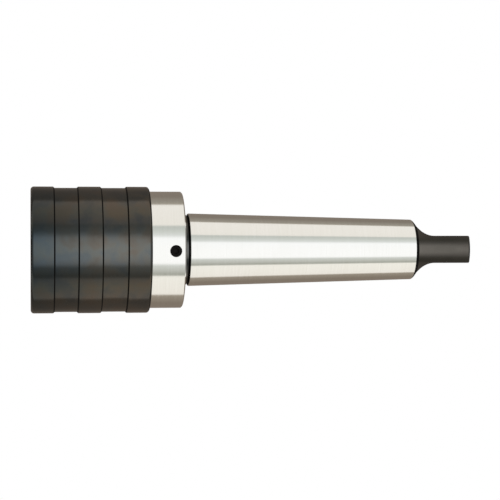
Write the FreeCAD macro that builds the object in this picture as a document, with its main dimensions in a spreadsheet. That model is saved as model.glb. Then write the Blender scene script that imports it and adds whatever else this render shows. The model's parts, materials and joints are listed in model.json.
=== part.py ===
import FreeCAD, Part
import math
import os
import Sketcher

# Quick-change tapping chuck with length compensation on a tanged taper shank.
# The chuck's axis is Z. The nose points to -Z, the tang to +Z, and the origin is
# on the axis at the gauge plane of the taper. The tang's flats face +X and -X.

document = FreeCAD.newDocument("tapping_chuck")

# driving dimensions, in millimetres and degrees
sizes = {
    # taper shank, number 4 of its series
    "gauge_diameter": 31.267,
    "taper_per_length": 0.05194,
    "shoulder_offset": 6.1,
    "taper_end": 93.1,
    "shoulder_rounding": 0.4,
    # tang
    "tang_length": 24.4,
    "tang_flat_length": 16.0,
    "tang_step": 0.966,
    "tang_step_length": 1.4,
    "tang_thickness": 11.9,
    "tang_runout_radius": 8.0,
    "tang_end_chamfer": 0.8,
    "centre_drill_diameter": 2.5,
    "centre_drill_depth": 8.0,
    "centre_countersink": 1.9,
    # neck between the hub and the taper
    "neck_step": 0.6,
    "neck_length": 1.35,
    "undercut_depth": 1.2,
    "undercut_length": 1.35,
    # threaded flange of the shank, screwed into the hub
    "flange_length": 7.4,
    "flange_lip": 1.25,
    "flange_chamfer": 0.4,
    "flange_thread_clearance": 0.05,
    "flange_dish_depth": 1.4,
    "flange_dish_clearance": 0.25,
    # hub
    "hub_wall": 4.25,
    "hub_showing": 14.2,
    "hub_lip": 1.2,
    "hub_front_chamfer": 0.5,
    "hub_rear_chamfer": 0.5,
    "guide_clearance": 0.05,
    # ring in the mouth of the hub
    "circlip_air": 0.7,
    "circlip_width": 3.0,
    "circlip_seat": 1.2,
    "circlip_thickness": 1.4,
    "circlip_opening": 34.0,
    "circlip_clearance": 0.1,
    # torque balls between hub and spindle
    "drive_ball_diameter": 6.0,
    "drive_ball_count": 6,
    "drive_ball_clearance": 0.05,
    "groove_clearance": 0.1,
    # set screws in the hub
    "screw_diameter": 5.0,
    "screw_clearance": 0.1,
    "screw_sink": 1.2,
    "screw_from_rear": 4.4,
    "screw_count": 3,
    "screw_turn": 1.3,
    "screw_socket": 2.5,
    "screw_socket_depth": 2.4,
    "screw_hole_floor": 0.35,
    "pad_thickness": 0.5,
    # strokes
    "extension_travel": 8.0,
    "compression_travel": 6.0,
    "end_clearance": 0.3,
    "release_travel": 3.6,
    # spindle
    "spindle_setback": 0.5,
    "spindle_wall": 5.1,
    "spindle_chamfer": 0.5,
    "spindle_flange_length": 2.4,
    "spindle_flange_clearance": 0.1,
    "guide_step": 1.1,
    "bore_diameter": 31.0,
    "bore_depth": 32.5,
    "bore_chamfer": 1.0,
    "bore_relief_depth": 0.4,
    "bore_relief_length": 8.0,
    "slot_width": 8.0,
    "slot_depth": 6.0,
    "web_thickness": 3.6,
    # ball lock
    "locking_ball_diameter": 7.0,
    "locking_ball_count": 3,
    "locking_ball_reach": 1.4,
    "locking_ball_clearance": 0.1,
    "locking_ball_air": 1.2,
    "ball_lip_hold": 0.35,
    "ball_lip_length": 0.8,
    "ball_room_clearance": 0.36,
    "cone_slope": 0.4,
    "cone_clearance": 0.15,
    # release sleeve
    "sleeve_wall": 1.2,
    "band_height": 0.55,
    "front_band_length": 9.9,
    "raised_length": 10.0,
    "first_recess_length": 10.1,
    "second_recess_length": 10.7,
    "nose_rounding": 1.0,
    "rear_rounding": 1.3,
    "mouth_chamfer": 0.5,
    "skirt_clearance": 0.3,
    "sleeve_guide_clearance": 0.1,
    "sleeve_guide_land": 1.3,
    "lip_length": 2.2,
    # wire ring in front of the sleeve
    "wire_diameter": 2.0,
    "wire_opening": 25.0,
    "wire_clearance": 0.05,
    "wire_sink": 0.95,
    "wire_land": 1.1,
    "wire_to_sleeve": 0.15,
    "wire_to_mouth": 0.55,
    # sleeve spring
    "sleeve_spring_wire": 1.4,
    "sleeve_spring_air": 1.6,
    "sleeve_spring_turns": 2.5,
    # draw bolt and its nut
    "bolt_diameter": 10.0,
    "bolt_clearance": 0.25,
    "bolt_head_diameter": 16.0,
    "bolt_head_height": 10.0,
    "bolt_head_chamfer": 0.8,
    "bolt_head_clearance": 0.4,
    "bolt_socket": 8.0,
    "bolt_socket_depth": 5.0,
    "bolt_end_past_nut": 1.0,
    "bolt_washer_thickness": 1.0,
    "nut_rim": 0.6,
    "nut_length": 10.0,
    "nut_chamfer": 0.6,
    "nut_thread_clearance": 0.05,
    "pin_diameter": 2.5,
    "pin_clearance": 0.05,
    "pin_sink": 0.4,
    # stop bush in the shank, and the chamber behind it
    "bush_rim": 1.5,
    "bush_length": 10.0,
    "bush_hole_clearance": 0.3,
    "bush_thread_clearance": 0.05,
    "bush_slot_width": 3.0,
    "bush_slot_depth": 2.0,
    "chamber_clearance": 0.3,
    "chamber_end_room": 2.0,
    # two springs of the length compensation, and their seats
    "spring_washer_thickness": 1.0,
    "spring_washer_clearance": 0.3,
    "spring_pocket_clearance": 0.7,
    "compression_spring_room": 16.0,
    "compression_spring_wire": 2.6,
    "compression_spring_air": 1.9,
    "compression_spring_turns": 3.5,
    "tension_spring_room": 24.0,
    "tension_spring_wire": 2.4,
    "tension_spring_air": 1.2,
    "tension_spring_turns": 5.0,
}

# radii, and distances from the axis
widths = {
    # taper shank and tang
    "gauge": "dims.gauge_diameter / 2",
    "shoulder": "gauge + dims.taper_per_length * dims.shoulder_offset / 2",
    "taper_end": "gauge - dims.taper_per_length * dims.taper_end / 2",
    "tang": "taper_end - dims.tang_step",
    "centre_drill": "dims.centre_drill_diameter / 2",
    "centre_hole": "centre_drill + dims.centre_countersink",
    "neck": "shoulder - dims.neck_step",
    "undercut": "neck - dims.undercut_depth",
    # spindle, from the bore outwards
    "bore": "dims.bore_diameter / 2",
    "bore_relief": "bore + dims.bore_relief_depth",
    "spindle": "bore + dims.spindle_wall",
    "guide": "spindle - dims.guide_step",
    "wire": "dims.wire_diameter / 2",
    "wire_centre": "spindle + wire - dims.wire_sink",
    "wire_groove": "wire_centre - wire - dims.wire_clearance",
    # shank flange and hub, around the spindle's guide
    "guide_bore": "guide + dims.guide_clearance",
    "dish": "guide + dims.flange_dish_clearance",
    "flange": "dish + dims.flange_lip",
    "flange_thread": "flange + dims.flange_thread_clearance",
    "hub": "flange + dims.hub_wall",
    "circlip_inner": "guide + dims.circlip_air",
    "circlip_outer": "circlip_inner + dims.circlip_width",
    "circlip_groove": "circlip_outer + dims.circlip_clearance",
    "hub_mouth": "circlip_outer - dims.circlip_seat",
    "drive_ball": "dims.drive_ball_diameter / 2",
    "drive_pocket": "drive_ball + dims.drive_ball_clearance",
    "drive_groove": "drive_ball + dims.groove_clearance",
    # set screws
    "screw": "dims.screw_diameter / 2",
    "screw_hole": "screw + dims.screw_clearance / 2",
    "screw_outer": "hub - dims.screw_sink",
    "screw_hole_bottom": "dish + dims.screw_hole_floor",
    "screw_inner": "screw_hole_bottom + dims.pad_thickness",
    "screw_socket_bottom": "screw_outer - dims.screw_socket_depth",
    # ball lock
    "locking_ball": "dims.locking_ball_diameter / 2",
    "locking_ball_centre": "bore + locking_ball - dims.locking_ball_reach",
    "ball_hole": "locking_ball + dims.locking_ball_clearance",
    "ball_lip": "locking_ball - dims.ball_lip_hold",
    "ball_room": "locking_ball_centre + dims.release_travel * dims.cone_slope + locking_ball"
                 " + dims.ball_room_clearance",
    "cone": "locking_ball_centre"
            " + (locking_ball + dims.cone_clearance) * sqrt(1 + dims.cone_slope ^ 2)",
    # release sleeve, around the hub
    "skirt": "hub + dims.skirt_clearance",
    "recessed": "skirt + dims.sleeve_wall",
    "raised": "recessed + dims.band_height",
    "mouth": "wire_centre + wire + dims.wire_to_mouth",
    "sleeve_guide": "spindle + dims.sleeve_guide_clearance",
    "spindle_flange": "skirt - dims.spindle_flange_clearance",
    "sleeve_spring": "spindle + dims.sleeve_spring_air + dims.sleeve_spring_wire / 2",
    # draw bolt, its nut and the springs around it
    "bolt": "dims.bolt_diameter / 2",
    "bolt_hole": "bolt + dims.bolt_clearance",
    "bolt_head": "dims.bolt_head_diameter / 2",
    "bolt_head_hole": "bolt_head + dims.bolt_head_clearance",
    "compression_spring": "bolt + dims.compression_spring_air + dims.compression_spring_wire / 2",
    "tension_spring": "bolt + dims.tension_spring_air + dims.tension_spring_wire / 2",
    "spring_pocket": "compression_spring + dims.compression_spring_wire / 2"
                     " + dims.spring_pocket_clearance",
    "compression_washer": "spring_pocket - dims.spring_washer_clearance",
    "spring_washer_hole": "bolt + dims.spring_washer_clearance",
    "nut": "tension_spring + dims.tension_spring_wire / 2 + dims.nut_rim",
    "nut_thread": "bolt + dims.nut_thread_clearance",
    "chamber": "nut + dims.chamber_clearance",
    "pin": "dims.pin_diameter / 2",
    "pin_hole": "pin + dims.pin_clearance",
    "pin_end": "nut - dims.pin_sink",
    "bush": "chamber + dims.bush_rim",
    "bush_hole": "bolt + dims.bush_hole_clearance",
    "bush_bore": "bush + dims.bush_thread_clearance",
}

# places along the axis, from the gauge plane
places = {
    "shoulder": "-dims.shoulder_offset",
    "neck_rear": "shoulder - dims.undercut_length",
    "hub_rear": "neck_rear - dims.neck_length",
    "sleeve_rear": "hub_rear - dims.hub_showing",
    "second_recess": "sleeve_rear - dims.raised_length - dims.second_recess_length",
    "first_recess": "second_recess - dims.raised_length - dims.first_recess_length",
    "nose": "first_recess - dims.front_band_length",
    "flange_face": "hub_rear - dims.flange_length",
    "dish": "flange_face + dims.flange_dish_depth",
    "screw": "hub_rear - dims.screw_from_rear",
    # wire ring, then the sleeve's lip behind it
    "spindle_nose": "nose + dims.spindle_setback",
    "slot_bottom": "spindle_nose + dims.slot_depth",
    "wire": "spindle_nose + dims.wire_land + dims.wire_clearance + dims.wire_diameter / 2",
    "lip_front": "wire + dims.wire_diameter / 2 + dims.wire_to_sleeve",
    "lip_rear": "lip_front + dims.lip_length",
    # ball lock: the sleeve's lip stays clear of the balls at full release
    "locking_balls": "lip_rear + dims.locking_ball_air + dims.release_travel"
                     " + dims.locking_ball_diameter / 2",
    "relief_front": "locking_balls - dims.bore_relief_length / 2",
    "relief_rear": "locking_balls + dims.bore_relief_length / 2",
    "cone_front": "locking_balls - (radii.ball_room - radii.cone) / dims.cone_slope",
    "cone_rear": "locking_balls + (radii.cone - radii.sleeve_guide) / dims.cone_slope",
    "sleeve_shoulder": "cone_rear + dims.sleeve_guide_land",
    "spindle_rear": "dish - dims.compression_travel - dims.end_clearance",
    # torque balls stop short of the flange when the spindle is pushed in,
    # and short of the ring when it is pulled out
    "drive_balls": "flange_face - dims.compression_travel - dims.end_clearance"
                   " - dims.drive_ball_diameter / 2",
    "circlip_rear": "drive_balls - dims.extension_travel - dims.end_clearance"
                    " - dims.drive_ball_diameter / 2",
    "circlip_front": "circlip_rear - dims.circlip_thickness",
    # spindle's flange in front of the hub, with the stroke between them
    "hub_front": "circlip_front - dims.circlip_clearance - dims.hub_lip",
    "spindle_flange_rear": "hub_front - dims.compression_travel - dims.end_clearance",
    "spindle_flange_front": "spindle_flange_rear - dims.spindle_flange_length",
    # draw bolt's head under the floor of the bore
    "bore_bottom": "spindle_nose + dims.bore_depth",
    "bolt_head_front": "bore_bottom + dims.bolt_head_clearance",
    "bolt_head_rear": "bolt_head_front + dims.bolt_head_height",
    "bolt_seat": "bolt_head_rear + dims.bolt_washer_thickness",
    "spring_pocket": "bolt_seat + dims.web_thickness",
    # springs of the length compensation, from front to rear
    "compression_spring_front": "spring_pocket + dims.spring_washer_thickness",
    "bush_front": "compression_spring_front + dims.compression_spring_room",
    "bush_rear": "bush_front + dims.bush_length",
    "tension_spring_rear": "bush_rear + dims.tension_spring_room",
    "nut_front": "tension_spring_rear + dims.spring_washer_thickness",
    "pin": "nut_front + dims.nut_length / 2",
    "nut_rear": "nut_front + dims.nut_length",
    "bolt_end": "nut_rear + dims.bolt_end_past_nut",
    "chamber_end": "bolt_end + dims.compression_travel + dims.chamber_end_room",
    # drill points of 118 and 60 degrees
    "chamber_tip": "chamber_end + radii.chamber / tan(59 deg)",
    "tang_end": "dims.taper_end + dims.tang_length",
    "centre_cone": "tang_end - dims.centre_countersink / tan(30 deg)",
    "centre_drill": "tang_end - dims.centre_drill_depth",
    "centre_tip": "centre_drill - radii.centre_drill / tan(59 deg)",
    # where the tang's flats start to run out towards the taper
    "tang_tangent": "tang_end - dims.tang_flat_length",
}


def number_set(name, formulas):
    # a named set of values that follow from the sheet
    holder = document.addObject("App::VarSet", name)
    for value_name, formula in formulas.items():
        holder.addProperty("App::PropertyFloat", value_name, "Values", "")
        holder.setExpression(value_name, formula)
        document.recompute()
    return holder


dims = document.addObject("Spreadsheet::Sheet", "dims")
for row, (alias, number) in enumerate(sizes.items(), start=1):
    dims.set("A%d" % row, alias)
    dims.set("B%d" % row, str(number))
    dims.setAlias("B%d" % row, alias)
document.recompute()

radii = number_set("radii", widths)
at = number_set("at", places)


def measure(formula):
    return float(radii.evalExpression(formula))


def origin_item(body, role):
    return next(item for item in body.Origin.OriginFeatures if item.Role == role)


def new_body(label):
    body = document.addObject("PartDesign::Body", label)
    body.Label = label
    return body


def new_sketch(body, name, role, lift=None):
    sketch = body.newObject("Sketcher::SketchObject", name)
    sketch.AttachmentSupport = [(origin_item(body, role), "")]
    sketch.MapMode = "FlatFace"
    if lift:
        sketch.setExpression("AttachmentOffset.Base.z", lift)
    return sketch


def tie(sketch, rule, kind, *where):
    # a dimension of the sketch that follows a formula
    index = sketch.addConstraint(Sketcher.Constraint(kind, *where, measure(rule)))
    sketch.setExpression("Constraints[%d]" % index, rule)


def tie_point(sketch, curve, end, across, up):
    # ties a point to its two distances from the sketch's origin
    for kind, zero_line, rule in (("DistanceX", -2, across), ("DistanceY", -1, up)):
        if rule == "0":
            sketch.addConstraint(Sketcher.Constraint("PointOnObject", curve, end, zero_line))
        else:
            tie(sketch, rule, kind, -1, 1, curve, end)


def draw_outline(sketch, corners):
    # a closed outline of straight edges through the corners
    points = [FreeCAD.Vector(measure(across), measure(up), 0) for across, up in corners]
    first = sketch.GeometryCount
    count = len(corners)
    for index in range(count):
        sketch.addGeometry(Part.LineSegment(points[index], points[(index + 1) % count]))
    for index, (across, up) in enumerate(corners):
        following = first + (index + 1) % count
        sketch.addConstraint(Sketcher.Constraint("Coincident", first + index, 2, following, 1))
        tie_point(sketch, first + index, 1, across, up)


def draw_circle(sketch, across, up, radius):
    centre = FreeCAD.Vector(measure(across), measure(up), 0)
    curve = sketch.addGeometry(Part.Circle(centre, FreeCAD.Vector(0, 0, 1), measure(radius)))
    tie_point(sketch, curve, 3, across, up)
    tie(sketch, radius, "Radius", curve)


def draw_hexagon(sketch, up, across_flats):
    # corners of a hex socket whose centre lies on the sketch's upright axis
    corners = []
    for corner in range(6):
        angle = "(%d deg)" % (60 * corner)
        reach = "%s / sqrt(3)" % across_flats
        corners.append(("%s * cos%s" % (reach, angle), "%s + %s * sin%s" % (up, reach, angle)))
    draw_outline(sketch, corners)


def turn_profile(body, name, corners, degrees=360.0):
    # half section on the XZ plane, turned about the chuck's axis
    sketch = new_sketch(body, name + "_section", "XZ_Plane")
    draw_outline(sketch, corners)
    turning = body.newObject("PartDesign::Revolution", name + "_turning")
    turning.Profile = sketch
    turning.ReferenceAxis = (sketch, ["V_Axis"])
    turning.Angle = degrees
    return turning


def turned_body(label, corners):
    body = new_body(label)
    turn_profile(body, label, corners)
    return body


def cut_through(body, sketch, name, both_ways=False, backwards=False):
    pocket = body.newObject("PartDesign::Pocket", name)
    pocket.Profile = sketch
    pocket.Type = "ThroughAll"
    pocket.Midplane = both_ways
    pocket.Reversed = backwards
    return pocket


def ring_around(body, feature, count):
    # repeats a feature evenly about the chuck's axis
    pattern = body.newObject("PartDesign::PolarPattern", feature.Name + "_ring")
    pattern.Originals = [feature]
    pattern.Axis = (origin_item(body, "Z_Axis"), [""])
    pattern.Angle = 360
    pattern.setExpression("Occurrences", count)
    body.Tip = pattern
    return pattern


def circle_edge(shape, radius, height):
    # name of the full-circle edge of that radius at that height
    for index, edge in enumerate(shape.Edges, start=1):
        curve = edge.Curve
        if not isinstance(curve, Part.Circle):
            continue
        if math.isclose(curve.Radius, radius, abs_tol=1e-3) and math.isclose(
            curve.Center.z, height, abs_tol=1e-3
        ):
            return "Edge%d" % index
    raise ValueError("no circle of radius %.3f at height %.3f" % (radius, height))


def round_circles(body, name, size, circles):
    document.recompute()
    base = body.Tip
    fillet = body.newObject("PartDesign::Fillet", name)
    fillet.Base = (base, [circle_edge(base.Shape, measure(r), measure(z)) for r, z in circles])
    fillet.setExpression("Radius", size)
    return fillet


def place_ball(body, reach, height, radius, kind="AdditiveSphere"):
    # a ball, or its pocket, towards +X of the chuck's axis
    ball = body.newObject("PartDesign::" + kind, "%s_%s" % (body.Name, kind))
    ball.setExpression("Radius", radius)
    ball.setExpression("Placement.Base.x", reach)
    ball.setExpression("Placement.Base.z", height)
    return ball


def taper_shank():
    body = turned_body("taper_shank", [
        ("radii.dish", "at.flange_face"),
        ("radii.flange - dims.flange_chamfer", "at.flange_face"),
        ("radii.flange", "at.flange_face + dims.flange_chamfer"),
        ("radii.flange", "at.hub_rear - dims.flange_chamfer"),
        ("radii.flange - dims.flange_chamfer", "at.hub_rear"),
        ("radii.neck", "at.hub_rear"),
        ("radii.neck", "at.neck_rear"),
        ("radii.undercut", "at.neck_rear"),
        ("radii.undercut", "at.shoulder"),
        ("radii.shoulder", "at.shoulder"),
        ("radii.taper_end", "dims.taper_end"),
        ("radii.tang", "dims.taper_end + dims.tang_step_length"),
        ("radii.tang", "at.tang_end - dims.tang_end_chamfer"),
        ("radii.tang - dims.tang_end_chamfer", "at.tang_end"),
        ("radii.centre_hole", "at.tang_end"),
        ("radii.centre_drill", "at.centre_cone"),
        ("radii.centre_drill", "at.centre_drill"),
        ("0", "at.centre_tip"),
        ("0", "at.chamber_tip"),
        ("radii.chamber", "at.chamber_end"),
        ("radii.chamber", "at.bush_rear"),
        ("radii.bush_bore", "at.bush_rear"),
        ("radii.bush_bore", "at.dish"),
        ("radii.dish", "at.dish"),
    ])
    round_circles(body, "shoulder_edge", "dims.shoulder_rounding", [("radii.shoulder", "at.shoulder")])
    tang_flats(body)
    drill_screw_holes(body, "flange_screw_holes")
    return body


def tang_flats(body):
    # one flat with its run-out into the taper, cut right across and mirrored
    sketch = new_sketch(body, "tang_flat_section", "XZ_Plane")
    flat = "dims.tang_thickness / 2"
    arc_centre = "dims.tang_thickness / 2 + dims.tang_runout_radius"
    outside = "radii.gauge + dims.tang_runout_radius"
    past_end = "at.tang_end + dims.tang_runout_radius"
    arc_low = "at.tang_tangent - dims.tang_runout_radius"
    corners = [
        (arc_centre, arc_low),
        (outside, arc_low),
        (outside, past_end),
        (flat, past_end),
        (flat, "at.tang_tangent"),
    ]
    points = [FreeCAD.Vector(measure(across), measure(up), 0) for across, up in corners]
    for index in range(4):
        sketch.addGeometry(Part.LineSegment(points[index], points[index + 1]))
        tie_point(sketch, index, 1, *corners[index])
        if index:
            sketch.addConstraint(Sketcher.Constraint("Coincident", index - 1, 2, index, 1))
    centre = FreeCAD.Vector(measure(arc_centre), measure("at.tang_tangent"), 0)
    circle = Part.Circle(centre, FreeCAD.Vector(0, 0, 1), measure("dims.tang_runout_radius"))
    arc = sketch.addGeometry(Part.ArcOfCircle(circle, math.pi, 1.5 * math.pi))
    tie_point(sketch, 3, 2, *corners[4])
    sketch.addConstraint(Sketcher.Constraint("Coincident", 3, 2, arc, 1))
    sketch.addConstraint(Sketcher.Constraint("Coincident", arc, 2, 0, 1))
    tie(sketch, "dims.tang_runout_radius", "Radius", arc)
    flat_cut = cut_through(body, sketch, "tang_flat", both_ways=True)
    mirrored = body.newObject("PartDesign::Mirrored", "tang_flats")
    mirrored.Originals = [flat_cut]
    mirrored.MirrorPlane = (origin_item(body, "YZ_Plane"), [""])
    body.Tip = mirrored


def screw_sketch(body, name, reach):
    # a sketch square to the first set screw, at a distance from the chuck's axis
    sketch = new_sketch(body, name, "XZ_Plane")
    turn = "dims.screw_turn"
    sketch.AttachmentOffset = FreeCAD.Placement(
        FreeCAD.Vector(0, 0, 0), FreeCAD.Rotation(FreeCAD.Vector(0, 1, 0), measure(turn))
    )
    sketch.setExpression("AttachmentOffset.Rotation.Angle", turn)
    sketch.setExpression("AttachmentOffset.Base.x", "%s * sin(%s * 1 deg)" % (reach, turn))
    sketch.setExpression("AttachmentOffset.Base.z", "%s * cos(%s * 1 deg)" % (reach, turn))
    return sketch


def drill_screw_holes(body, name):
    # radial holes, the first towards -Y, as deep as the pads under the screws
    sketch = screw_sketch(body, name + "_circle", "radii.screw_hole_bottom")
    draw_circle(sketch, "0", "at.screw", "radii.screw_hole")
    hole = cut_through(body, sketch, name, backwards=True)
    ring_around(body, hole, "dims.screw_count")


def hub():
    body = turned_body("hub", [
        ("radii.hub_mouth", "at.hub_front"),
        ("radii.hub - dims.hub_front_chamfer", "at.hub_front"),
        ("radii.hub", "at.hub_front + dims.hub_front_chamfer"),
        ("radii.hub", "at.hub_rear - dims.hub_rear_chamfer"),
        ("radii.hub - dims.hub_rear_chamfer", "at.hub_rear"),
        ("radii.flange_thread", "at.hub_rear"),
        ("radii.flange_thread", "at.flange_face"),
        ("radii.guide_bore", "at.flange_face"),
        ("radii.guide_bore", "at.circlip_rear"),
        ("radii.circlip_groove", "at.circlip_rear"),
        ("radii.circlip_groove", "at.circlip_front - dims.circlip_clearance"),
        ("radii.hub_mouth", "at.circlip_front - dims.circlip_clearance"),
    ])
    # ball grooves, broached from the mouth to the flange of the shank
    sketch = new_sketch(body, "ball_groove_circle", "XY_Plane", "at.flange_face")
    draw_circle(sketch, "radii.guide", "0", "radii.drive_groove")
    ring_around(body, cut_through(body, sketch, "ball_groove"), "dims.drive_ball_count")
    drill_screw_holes(body, "hub_screw_holes")
    return body


def hub_set_screws():
    body = new_body("hub_set_screws")
    sketch = screw_sketch(body, "screw_circle", "radii.screw_inner")
    draw_circle(sketch, "0", "at.screw", "radii.screw")
    shank = body.newObject("PartDesign::Pad", "screw_shank")
    shank.Profile = sketch
    shank.setExpression("Length", "radii.screw_outer - radii.screw_inner")
    ring_around(body, shank, "dims.screw_count")
    socket = screw_sketch(body, "screw_hexagon", "radii.screw_socket_bottom")
    draw_hexagon(socket, "at.screw", "dims.screw_socket")
    ring_around(body, cut_through(body, socket, "screw_socket", backwards=True), "dims.screw_count")
    return body


def set_screw_pads():
    body = new_body("set_screw_pads")
    sketch = screw_sketch(body, "pad_circle", "radii.screw_hole_bottom")
    draw_circle(sketch, "0", "at.screw", "radii.screw")
    pad = body.newObject("PartDesign::Pad", "pad_disc")
    pad.Profile = sketch
    pad.setExpression("Length", "dims.pad_thickness")
    ring_around(body, pad, "dims.screw_count")
    return body


def open_ring(label, section, opening):
    # a ring that is cut open, its gap starting at +X
    body = new_body(label)
    turning = turn_profile(body, label, section)
    turning.setExpression("Angle", "360 - %s" % opening)
    return body


def ball_circlip():
    return open_ring("ball_circlip", [
        ("radii.circlip_inner", "at.circlip_front"),
        ("radii.circlip_outer", "at.circlip_front"),
        ("radii.circlip_outer", "at.circlip_rear"),
        ("radii.circlip_inner", "at.circlip_rear"),
    ], "dims.circlip_opening")


def front_snap_ring():
    body = new_body("front_snap_ring")
    sketch = new_sketch(body, "wire_section", "XZ_Plane")
    draw_circle(sketch, "radii.wire_centre", "at.wire", "radii.wire")
    turning = body.newObject("PartDesign::Revolution", "wire_turning")
    turning.Profile = sketch
    turning.ReferenceAxis = (sketch, ["V_Axis"])
    turning.setExpression("Angle", "360 - dims.wire_opening")
    return body


def stop_bush():
    body = turned_body("stop_bush", [
        ("radii.bush_hole", "at.bush_front"),
        ("radii.bush", "at.bush_front"),
        ("radii.bush", "at.bush_rear"),
        ("radii.bush_hole", "at.bush_rear"),
    ])
    # slot across its front face for the tool that screws it in
    sketch = new_sketch(body, "bush_slot_section", "XZ_Plane")
    half_slot = "dims.bush_slot_width / 2"
    below = "at.bush_front - dims.bush_slot_depth"
    bottom = "at.bush_front + dims.bush_slot_depth"
    draw_outline(sketch, [("-" + half_slot, below), (half_slot, below),
                          (half_slot, bottom), ("-" + half_slot, bottom)])
    cut_through(body, sketch, "bush_slot", both_ways=True)
    return body


def plain_washer(label, inner, outer, front, thickness):
    return turned_body(label, [
        (inner, front),
        (outer, front),
        (outer, "%s + %s" % (front, thickness)),
        (inner, "%s + %s" % (front, thickness)),
    ])


def spindle():
    body = turned_body("spindle", [
        ("radii.bore + dims.bore_chamfer", "at.spindle_nose"),
        ("radii.spindle - dims.spindle_chamfer", "at.spindle_nose"),
        ("radii.spindle", "at.spindle_nose + dims.spindle_chamfer"),
        ("radii.spindle", "at.wire - radii.wire - dims.wire_clearance"),
        ("radii.wire_groove", "at.wire - radii.wire - dims.wire_clearance"),
        ("radii.wire_groove", "at.wire + radii.wire + dims.wire_clearance"),
        ("radii.spindle", "at.wire + radii.wire + dims.wire_clearance"),
        ("radii.spindle", "at.spindle_flange_front"),
        ("radii.spindle_flange", "at.spindle_flange_front"),
        ("radii.spindle_flange", "at.spindle_flange_rear"),
        ("radii.guide", "at.spindle_flange_rear"),
        ("radii.guide", "at.spindle_rear - dims.spindle_chamfer"),
        ("radii.guide - dims.spindle_chamfer", "at.spindle_rear"),
        ("radii.spring_pocket", "at.spindle_rear"),
        ("radii.spring_pocket", "at.spring_pocket"),
        ("radii.bolt_hole", "at.spring_pocket"),
        ("radii.bolt_hole", "at.bolt_seat"),
        ("radii.bolt_head_hole", "at.bolt_seat"),
        ("radii.bolt_head_hole", "at.bore_bottom"),
        ("radii.bore", "at.bore_bottom"),
        ("radii.bore", "at.relief_rear"),
        ("radii.bore_relief", "at.relief_rear"),
        ("radii.bore_relief", "at.relief_front"),
        ("radii.bore", "at.relief_front"),
        ("radii.bore", "at.spindle_nose + dims.bore_chamfer"),
    ])
    # two drive slots across the nose
    slots = new_sketch(body, "drive_slot_section", "YZ_Plane")
    half_slot = "dims.slot_width / 2"
    before_nose = "at.spindle_nose - dims.slot_depth"
    draw_outline(slots, [("-" + half_slot, before_nose), (half_slot, before_nose),
                         (half_slot, "at.slot_bottom"), ("-" + half_slot, "at.slot_bottom")])
    cut_through(body, slots, "drive_slots", both_ways=True)
    # holes of the locking balls, each with a lip that stops its ball from falling inwards
    holes = new_sketch(body, "ball_hole_section", "YZ_Plane")
    lip_end = "radii.bore_relief + dims.ball_lip_length"
    inside = "radii.bore - radii.ball_lip"
    outside = "radii.spindle + radii.ball_lip"
    draw_outline(holes, [
        (inside, "at.locking_balls"),
        (inside, "at.locking_balls + radii.ball_lip"),
        ("radii.bore_relief", "at.locking_balls + radii.ball_lip"),
        (lip_end, "at.locking_balls + radii.ball_hole"),
        (outside, "at.locking_balls + radii.ball_hole"),
        (outside, "at.locking_balls"),
    ])
    hole = body.newObject("PartDesign::Groove", "ball_hole")
    hole.Profile = holes
    hole.ReferenceAxis = (holes, ["Edge6"])
    hole.Angle = 360
    ring_around(body, hole, "dims.locking_ball_count")
    # half-round pockets of the torque balls
    pocket = place_ball(body, "radii.guide", "at.drive_balls", "radii.drive_pocket",
                        "SubtractiveSphere")
    ring_around(body, pocket, "dims.drive_ball_count")
    return body


def drive_balls():
    body = new_body("drive_balls")
    ball = place_ball(body, "radii.guide", "at.drive_balls", "radii.drive_ball")
    ring_around(body, ball, "dims.drive_ball_count")
    return body


def draw_bolt():
    body = turned_body("draw_bolt", [
        ("0", "at.bolt_head_front"),
        ("radii.bolt_head - dims.bolt_head_chamfer", "at.bolt_head_front"),
        ("radii.bolt_head", "at.bolt_head_front + dims.bolt_head_chamfer"),
        ("radii.bolt_head", "at.bolt_head_rear"),
        ("radii.bolt", "at.bolt_head_rear"),
        ("radii.bolt", "at.bolt_end - dims.bolt_head_chamfer"),
        ("radii.bolt - dims.bolt_head_chamfer", "at.bolt_end"),
        ("0", "at.bolt_end"),
    ])
    socket = new_sketch(body, "bolt_hexagon", "XY_Plane", "at.bolt_head_front + dims.bolt_socket_depth")
    draw_hexagon(socket, "0", "dims.bolt_socket")
    cut_through(body, socket, "bolt_socket")
    cross_hole(body, "bolt_pin_hole")
    return body


def cross_hole(body, name):
    # hole of the locking pin, along X through the nut and the bolt
    sketch = new_sketch(body, name + "_circle", "YZ_Plane")
    draw_circle(sketch, "0", "at.pin", "radii.pin_hole")
    cut_through(body, sketch, name, both_ways=True)


def spring_nut():
    body = turned_body("spring_nut", [
        ("radii.nut_thread", "at.nut_front"),
        ("radii.nut", "at.nut_front"),
        ("radii.nut", "at.nut_rear - dims.nut_chamfer"),
        ("radii.nut - dims.nut_chamfer", "at.nut_rear"),
        ("radii.nut_thread", "at.nut_rear"),
    ])
    cross_hole(body, "nut_pin_hole")
    return body


def nut_lock_pin():
    body = new_body("nut_lock_pin")
    sketch = new_sketch(body, "pin_circle", "YZ_Plane")
    draw_circle(sketch, "0", "at.pin", "radii.pin")
    pin = body.newObject("PartDesign::Pad", "pin_length")
    pin.Profile = sketch
    pin.Midplane = True
    pin.setExpression("Length", "2 * radii.pin_end")
    return body


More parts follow.
